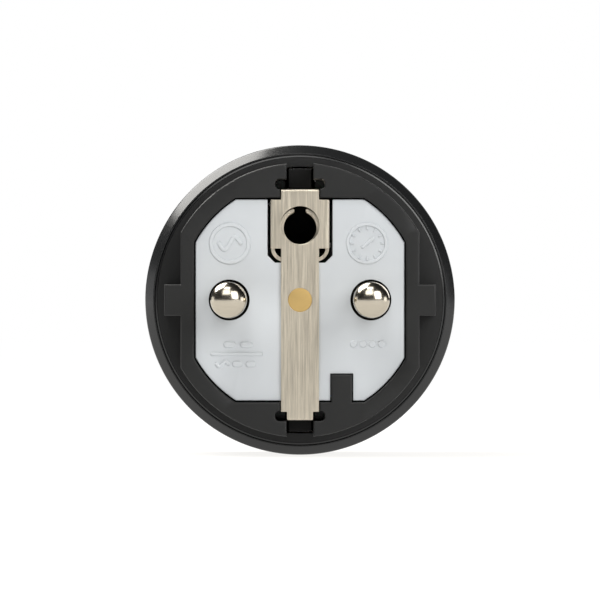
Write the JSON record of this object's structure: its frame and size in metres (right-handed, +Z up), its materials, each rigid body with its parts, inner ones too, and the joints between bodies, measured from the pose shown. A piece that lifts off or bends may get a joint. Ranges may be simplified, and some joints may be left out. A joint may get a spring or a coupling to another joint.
{
  "type": "smart plug",
  "caption": "Round black plug-in adaptor with two round pins and an earth strap on one end, a radio-switched socket well on the other, and a push button.",
  "frame": {"origin": "middle of the plug's front face, halfway between the two pins", "axes": "pins point along -Y into the wall, the socket opens along +Y, the earth hole and the button are up along +Z"},
  "size_m": [0.042, 0.0705, 0.042],
  "materials": {
    "black_body": "fine satin moulding",
    "black_sleeve": "polished",
    "grey_plastic": "as moulded",
    "pale_insert": "satin",
    "nickel_pin": "polished nickel plate",
    "nickel_sheet": "brushed nickel plate",
    "brass": "satin",
    "steel": "zinc plated",
    "copper": "enamelled copper",
    "tin": "tinned",
    "circuit_board": "solder mask",
    "relay_case": "moulded",
    "black_component": "epoxy",
    "white_component": "as moulded",
    "film_box": "moulded",
    "can_sleeve": "shrink sleeve",
    "ferrite": "sintered",
    "varistor_coat": "epoxy dip",
    "fuse_glass": "ceramic tube",
    "clear_plastic": "clear, frosted end"
  },
  "bodies": {
    "housing": {"board_header": "black_component", "board_screws": "steel", "bulk_capacitors": "can_sleeve", "centre_screw": "steel", "choke_core": "ferrite", "choke_winding": "copper", "control_board": "circuit_board", "current_shunt": "copper", "earth_bridge": "nickel_sheet", "earth_link": "brass", "earth_pin_box": "nickel_sheet", "earth_pin_tube": "nickel_sheet", "earth_rivet": "brass", "earth_strap": "nickel_sheet", "film_capacitor": "film_box", "fuse": "fuse_glass", "housing_sleeve": "black_sleeve", "inner_carrier": "black_body", "insert_retainer": "grey_plastic", "light_pipe": "clear_plastic", "line_busbar": "brass", "line_contact": "brass", "line_pin": "nickel_pin", "lower_earth_clip": "nickel_sheet", "metering_chip": "black_component", "neutral_busbar": "brass", "neutral_contact": "brass", "neutral_pin": "nickel_pin", "pin_insert": "pale_insert", "power_board": "circuit_board", "radio_board": "circuit_board", "radio_shield": "tin", "rear_cover": "black_body", "rectifier": "black_component", "regulator_chip": "black_component", "relay_base": "black_component", "relay_bobbin": "white_component", "relay_case": "relay_case", "relay_coil": "copper", "relay_core": "steel", "relay_fixed_contact": "brass", "relay_yoke": "steel", "shutter_cover": "grey_plastic", "shutter_spring": "steel", "socket_face": "black_body", "status_led": "white_component", "switch_body": "black_component", "upper_earth_clip": "nickel_sheet", "varistor": "varistor_coat"},
    "button": {"button_cap": "black_sleeve"},
    "plunger": {"switch_plunger": "white_component"},
    "shutter_plate": {"shutter": "grey_plastic"},
    "armature": {"relay_armature": "steel", "relay_blade": "brass"}
  },
  "joints": [
    {"name": "button_press", "type": "slide", "parent": "housing", "child": "button", "axis": [0, 0, -1], "range_m": [0, 0.0003], "stiffness_N_per_m": 1200, "springref_m": -0.0003},
    {"name": "plunger_press", "type": "slide", "parent": "housing", "child": "plunger", "axis": [0, 0, -1], "range_m": [0, 0.0003]},
    {"name": "shutter_turn", "type": "hinge", "parent": "housing", "child": "shutter_plate", "pos_m": [0, 0.0306, 0], "axis": [0, 1, 0], "range_deg": [0, 42], "stiffness_Nm_per_rad": 0.004, "springref_deg": -22.92, "deforming": ["shutter_spring"]},
    {"name": "armature_pull", "type": "hinge", "parent": "housing", "child": "armature", "pos_m": [0.00285, 0.0087, -0.00885], "axis": [0, 0, 1], "range_deg": [0, 4], "stiffness_Nm_per_rad": 0.002, "springref_deg": -8.59}
  ],
  "couplings": [
    {"joint": "plunger_press", "follows": "button_press", "ratio": 1}
  ]
}
